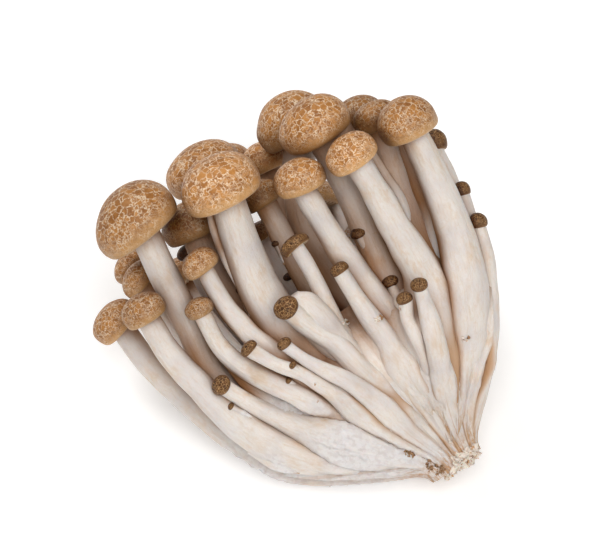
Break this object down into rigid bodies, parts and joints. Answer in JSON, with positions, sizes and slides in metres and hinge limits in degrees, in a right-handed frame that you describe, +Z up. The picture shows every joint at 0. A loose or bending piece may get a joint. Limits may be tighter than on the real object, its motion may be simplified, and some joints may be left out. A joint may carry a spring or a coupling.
{
  "type": "beech mushroom cluster",
  "caption": "Picked cluster of brown beech mushrooms lying on its side, with pale stems that fan out of one cut foot and small rounded caps at their ends.",
  "frame": {"origin": "on the table, under the middle of the cluster's bounding box", "axes": "+Z up from the table, +X across the fan towards the side where the foot lies, +Y from the cut foot towards the caps"},
  "size_m": [0.1016, 0.0938, 0.0751],
  "materials": {
    "cap_skin": "satin brown skin with a paler cracked net",
    "stem_flesh": "matte cream flesh with fine long fibres",
    "pin_flesh": "matte cream flesh under a dark brown cap",
    "foot_tissue": "rough cream and ochre tissue, cut at the end"
  },
  "bodies": {
    "root": {"foot": "foot_tissue", "stem_01": "stem_flesh", "cap_01": "cap_skin", "stem_02": "stem_flesh", "cap_02": "cap_skin", "stem_03": "stem_flesh", "cap_03": "cap_skin", "stem_04": "stem_flesh", "cap_04": "cap_skin", "stem_05": "stem_flesh", "cap_05": "cap_skin", "stem_06": "stem_flesh", "cap_06": "cap_skin", "stem_07": "stem_flesh", "cap_07": "cap_skin", "stem_08": "stem_flesh", "cap_08": "cap_skin", "stem_09": "stem_flesh", "cap_09": "cap_skin", "stem_10": "stem_flesh", "cap_10": "cap_skin", "stem_11": "stem_flesh", "cap_11": "cap_skin", "stem_12": "stem_flesh", "cap_12": "cap_skin", "stem_13": "stem_flesh", "cap_13": "cap_skin", "stem_14": "stem_flesh", "cap_14": "cap_skin", "stem_15": "stem_flesh", "cap_15": "cap_skin", "stem_16": "stem_flesh", "cap_16": "cap_skin", "stem_17": "stem_flesh", "cap_17": "cap_skin", "stem_18": "stem_flesh", "cap_18": "cap_skin", "stem_19": "stem_flesh", "cap_19": "cap_skin", "stem_20": "stem_flesh", "cap_20": "cap_skin", "stem_21": "stem_flesh", "cap_21": "cap_skin", "stem_22": "stem_flesh", "cap_22": "cap_skin", "pin_01": "pin_flesh", "pin_02": "pin_flesh", "pin_03": "pin_flesh", "pin_04": "pin_flesh", "pin_05": "pin_flesh", "pin_06": "pin_flesh", "pin_07": "pin_flesh", "pin_08": "pin_flesh", "pin_09": "pin_flesh", "pin_10": "pin_flesh", "pin_11": "pin_flesh", "pin_12": "pin_flesh", "pin_13": "pin_flesh", "pin_14": "pin_flesh", "pin_15": "pin_flesh"}
  },
  "joints": []
}
